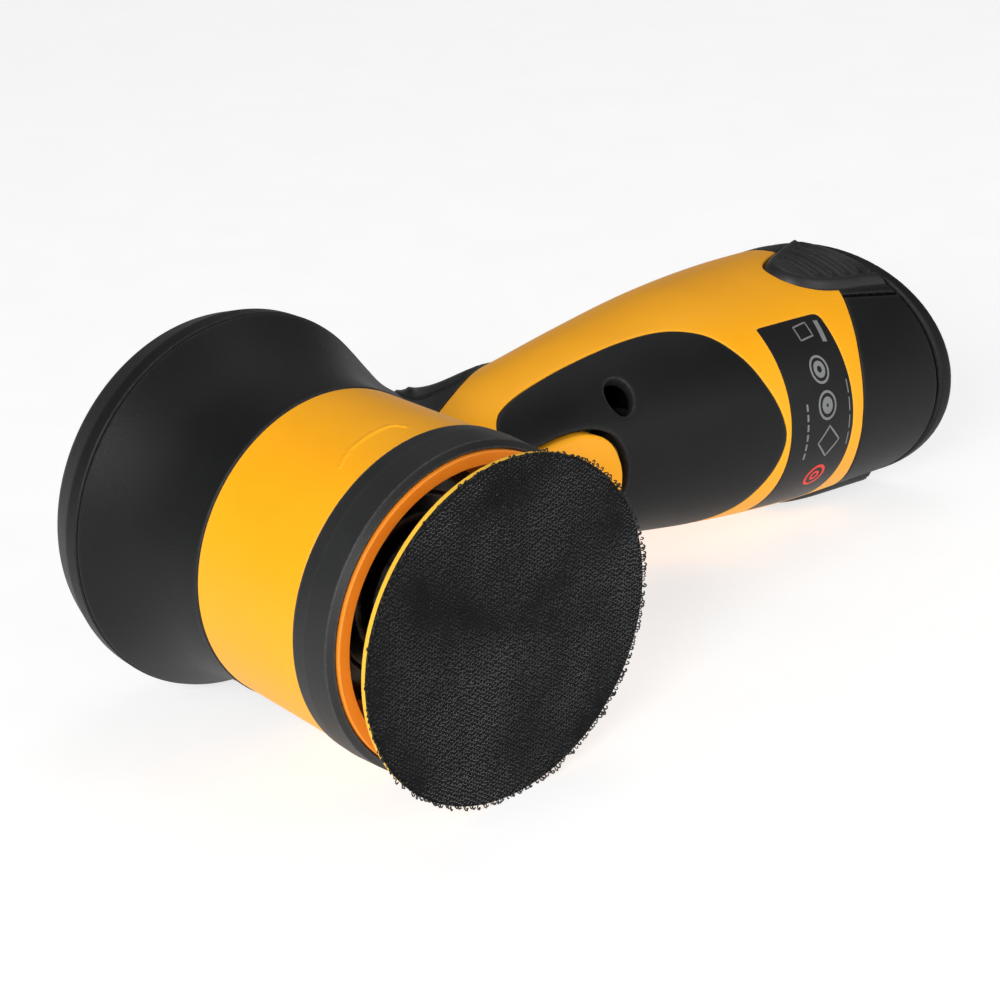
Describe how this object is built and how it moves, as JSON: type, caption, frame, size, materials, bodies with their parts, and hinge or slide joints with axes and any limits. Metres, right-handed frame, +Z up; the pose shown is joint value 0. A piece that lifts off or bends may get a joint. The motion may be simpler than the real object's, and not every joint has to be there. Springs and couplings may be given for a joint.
{
  "type": "rotary polisher",
  "caption": "Cordless mini rotary polisher: right-angle head with a round hook-and-loop pad, soft-grip handle with a trigger lever, and a slide-in stick battery.",
  "frame": {"origin": "centre of the pad's hook face, on the spindle axis; the tool lies on its side", "axes": "-Y out of the pad's hook face along the spindle axis, +X along the handle from the head to the battery, +Z up from the side that it lies on"},
  "size_m": [0.2315, 0.112, 0.0882],
  "materials": {
    "yellow_shell": "fine moulded texture, satin",
    "orange_skirt": "satin",
    "black_shell": "fine spark-eroded texture",
    "soft_grip": "matte soft-touch",
    "hook_fabric": "woven hooks",
    "pad_foam": "closed-cell foam",
    "steel": "ground",
    "aluminium": "die-cast",
    "copper": "enamelled wire",
    "brass": "plated contact",
    "board": "solder mask",
    "cell_wrap": "shrink sleeve",
    "label": "satin film",
    "lens": "clear"
  },
  "bodies": {
    "body": {"ring_gear": "steel", "gearbox_housing": "aluminium", "spindle_bearing": "steel", "spindle_seal": "soft_grip", "gearbox_screws": "steel", "motor_plate": "aluminium", "motor_can": "black_shell", "stator_core": "steel", "stator_windings": "copper", "motor_bearings": "steel", "rear_bracket": "aluminium", "motor_controller": "board", "inner_skirt": "orange_skirt", "bumper_ring": "soft_grip", "left_housing": "yellow_shell", "right_housing": "yellow_shell", "upper_shell": "soft_grip", "top_cap": "soft_grip", "left_grip": "soft_grip", "right_grip": "soft_grip", "label_plate": "label", "keypad_panel": "soft_grip", "status_lens": "lens", "keypad_board": "board", "trigger_pin": "steel", "trigger_board": "board", "terminal_block": "brass", "housing_screws": "steel"},
    "spindle": {"hook_disc": "hook_fabric", "pad_foam": "pad_foam", "backing_plate": "black_shell", "pad_stud": "steel", "output_spindle": "steel", "planet_pins": "steel"},
    "planet_a": {"planet_gear_a": "steel"},
    "planet_b": {"planet_gear_b": "steel"},
    "planet_c": {"planet_gear_c": "steel"},
    "rotor": {"sun_gear": "steel", "rotor_core": "steel", "rotor_magnets": "steel", "motor_shaft": "steel", "cooling_fan": "black_shell"},
    "trigger": {"trigger": "yellow_shell", "trigger_magnet": "steel", "trigger_spring": "steel"},
    "power_button": {"power_button": "soft_grip"},
    "speed_up_button": {"speed_up_button": "soft_grip"},
    "speed_down_button": {"speed_down_button": "soft_grip"},
    "battery": {"battery_case": "black_shell", "battery_cells": "cell_wrap", "cell_spacer": "lens", "battery_tail_cap": "soft_grip", "left_latch_spring": "steel", "right_latch_spring": "steel"},
    "left_latch": {"left_latch": "black_shell"},
    "right_latch": {"right_latch": "black_shell"}
  },
  "joints": [
    {"name": "spindle_spin", "type": "hinge", "parent": "body", "child": "spindle", "pos_m": [0, 0.03, 0], "axis": [0, 1, 0], "continuous": true},
    {"name": "rotor_spin", "type": "hinge", "parent": "body", "child": "rotor", "pos_m": [0, 0.07, 0], "axis": [0, 1, 0], "continuous": true},
    {"name": "planet_a_spin", "type": "hinge", "parent": "spindle", "child": "planet_a", "pos_m": [0.0132, 0.0447, 0], "axis": [0, 1, 0], "continuous": true},
    {"name": "planet_b_spin", "type": "hinge", "parent": "spindle", "child": "planet_b", "pos_m": [-0.0066, 0.0447, -0.01143], "axis": [0, 1, 0], "continuous": true},
    {"name": "planet_c_spin", "type": "hinge", "parent": "spindle", "child": "planet_c", "pos_m": [-0.0066, 0.0447, 0.01143], "axis": [0, 1, 0], "continuous": true},
    {"name": "trigger_press", "type": "hinge", "parent": "body", "child": "trigger", "pos_m": [0.042, 0.062, 0], "axis": [0, 0, 1], "range_deg": [0, 6], "stiffness_Nm_per_rad": 0.8, "springref_deg": -5.73},
    {"name": "power_press", "type": "slide", "parent": "body", "child": "power_button", "axis": [0, -1, 0], "range_m": [0, 0.0008], "stiffness_N_per_m": 400, "springref_m": -0.001},
    {"name": "speed_up_press", "type": "slide", "parent": "body", "child": "speed_up_button", "axis": [0, -1, 0], "range_m": [0, 0.0008], "stiffness_N_per_m": 400, "springref_m": -0.001},
    {"name": "speed_down_press", "type": "slide", "parent": "body", "child": "speed_down_button", "axis": [0, -1, 0], "range_m": [0, 0.0008], "stiffness_N_per_m": 400, "springref_m": -0.001},
    {"name": "battery_slide", "type": "slide", "parent": "body", "child": "battery", "axis": [1, 0, 0], "range_m": [0, 0.07]},
    {"name": "left_latch_press", "type": "slide", "parent": "battery", "child": "left_latch", "axis": [0, 0, -1], "range_m": [0, 0.0025], "stiffness_N_per_m": 800, "springref_m": -0.001, "deforming": ["left_latch_spring"]},
    {"name": "right_latch_press", "type": "slide", "parent": "battery", "child": "right_latch", "axis": [0, 0, 1], "range_m": [0, 0.0025], "stiffness_N_per_m": 800, "springref_m": -0.001, "deforming": ["right_latch_spring"]}
  ],
  "couplings": [
    {"joint": "rotor_spin", "follows": "spindle_spin", "ratio": 4.4},
    {"joint": "planet_a_spin", "follows": "spindle_spin", "ratio": -2.8333},
    {"joint": "planet_b_spin", "follows": "spindle_spin", "ratio": -2.8333},
    {"joint": "planet_c_spin", "follows": "spindle_spin", "ratio": -2.8333}
  ]
}
